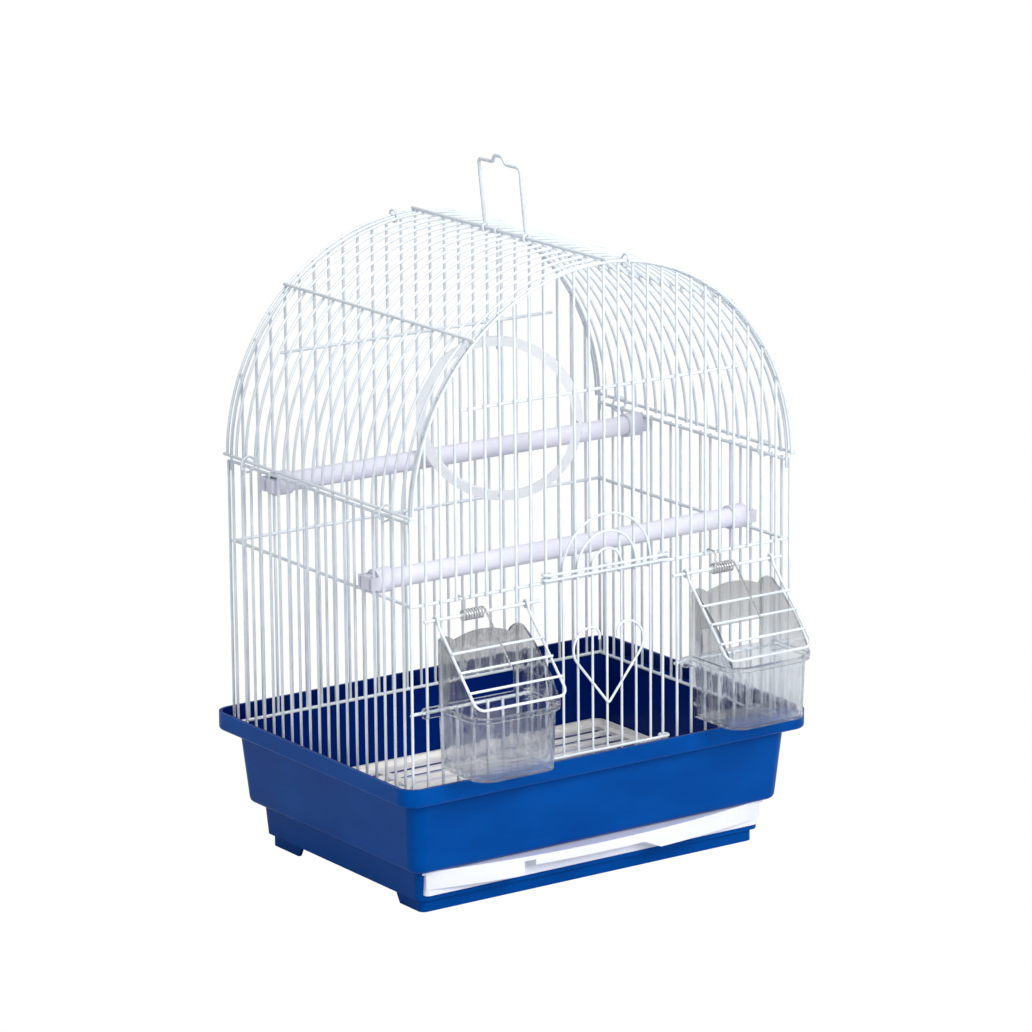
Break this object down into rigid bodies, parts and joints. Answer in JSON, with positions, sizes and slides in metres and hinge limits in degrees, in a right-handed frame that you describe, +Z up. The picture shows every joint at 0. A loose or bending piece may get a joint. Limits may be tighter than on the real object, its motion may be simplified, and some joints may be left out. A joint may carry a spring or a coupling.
{
  "type": "bird cage",
  "caption": "Arch-topped wire bird cage on a moulded tub with slide-out drawer, sliding door, sprung feeder flaps, perches, ring swing and folding handle.",
  "frame": {"origin": "under the middle of the whole object's box, on the plane that the feet stand on", "axes": "+Z up, -Y out of the front with the door, drawer and feeders, +X to the viewer's right at the front"},
  "size_m": [0.3006, 0.2588, 0.4369],
  "materials": {
    "wire_white": "smooth white powder coat",
    "tub_blue": "glossy moulded plastic",
    "drawer_white": "satin moulded plastic",
    "grille_white": "satin moulded plastic",
    "clear_plastic": "clear moulded plastic",
    "perch_white": "satin moulded plastic",
    "ring_white": "glossy moulded plastic",
    "zinc": "bright zinc plating"
  },
  "bodies": {
    "cage": {"base_tub": "tub_blue", "floor_grille": "grille_white", "front_bars": "wire_white", "front_rails": "wire_white", "front_arch_wire": "wire_white", "back_bars": "wire_white", "back_rails": "wire_white", "back_arch_wire": "wire_white", "left_side_bars": "wire_white", "right_side_bars": "wire_white", "left_side_rails": "wire_white", "right_side_rails": "wire_white", "roof_panel": "wire_white", "rail_clips": "zinc", "left_flap_hinge_wire": "wire_white", "right_flap_hinge_wire": "wire_white", "left_feeder_cup": "clear_plastic", "right_feeder_cup": "clear_plastic", "upper_perch_rod": "perch_white", "upper_perch_caps": "perch_white", "lower_perch_rod": "perch_white", "lower_perch_caps": "perch_white"},
    "drawer": {"drawer_tray": "drawer_white"},
    "door": {"door_wires": "wire_white", "door_cross_wires": "wire_white", "door_heart": "wire_white"},
    "left_flap": {"left_flap_frame": "wire_white", "left_flap_rungs": "wire_white", "left_flap_spring": "zinc"},
    "right_flap": {"right_flap_frame": "wire_white", "right_flap_rungs": "wire_white", "right_flap_spring": "zinc"},
    "swing": {"swing_hanger": "wire_white", "swing_ring": "ring_white"},
    "handle": {"carry_handle": "wire_white"}
  },
  "joints": [
    {"name": "drawer_slide", "type": "slide", "parent": "cage", "child": "drawer", "axis": [0, -1, 0], "range_m": [0, 0.15]},
    {"name": "door_slide", "type": "slide", "parent": "cage", "child": "door", "axis": [0, 0, 1], "range_m": [0, 0.075]},
    {"name": "left_flap_hinge", "type": "hinge", "parent": "cage", "child": "left_flap", "pos_m": [-0.09137, -0.0843, 0.186], "axis": [-1, 0, 0], "range_deg": [0, 60], "stiffness_Nm_per_rad": 0.01, "springref_deg": -20.05, "deforming": ["left_flap_spring"]},
    {"name": "right_flap_hinge", "type": "hinge", "parent": "cage", "child": "right_flap", "pos_m": [0.09137, -0.0843, 0.186], "axis": [-1, 0, 0], "range_deg": [0, 60], "stiffness_Nm_per_rad": 0.01, "springref_deg": -20.05, "deforming": ["right_flap_spring"]},
    {"name": "swing_hinge", "type": "hinge", "parent": "cage", "child": "swing", "pos_m": [0, 0.0288, 0.38752], "axis": [0, 1, 0], "range_deg": [-15, 15]},
    {"name": "handle_hinge", "type": "hinge", "parent": "cage", "child": "handle", "pos_m": [0, 0.0198, 0.38752], "axis": [0, 1, 0], "range_deg": [-90, 101]}
  ]
}
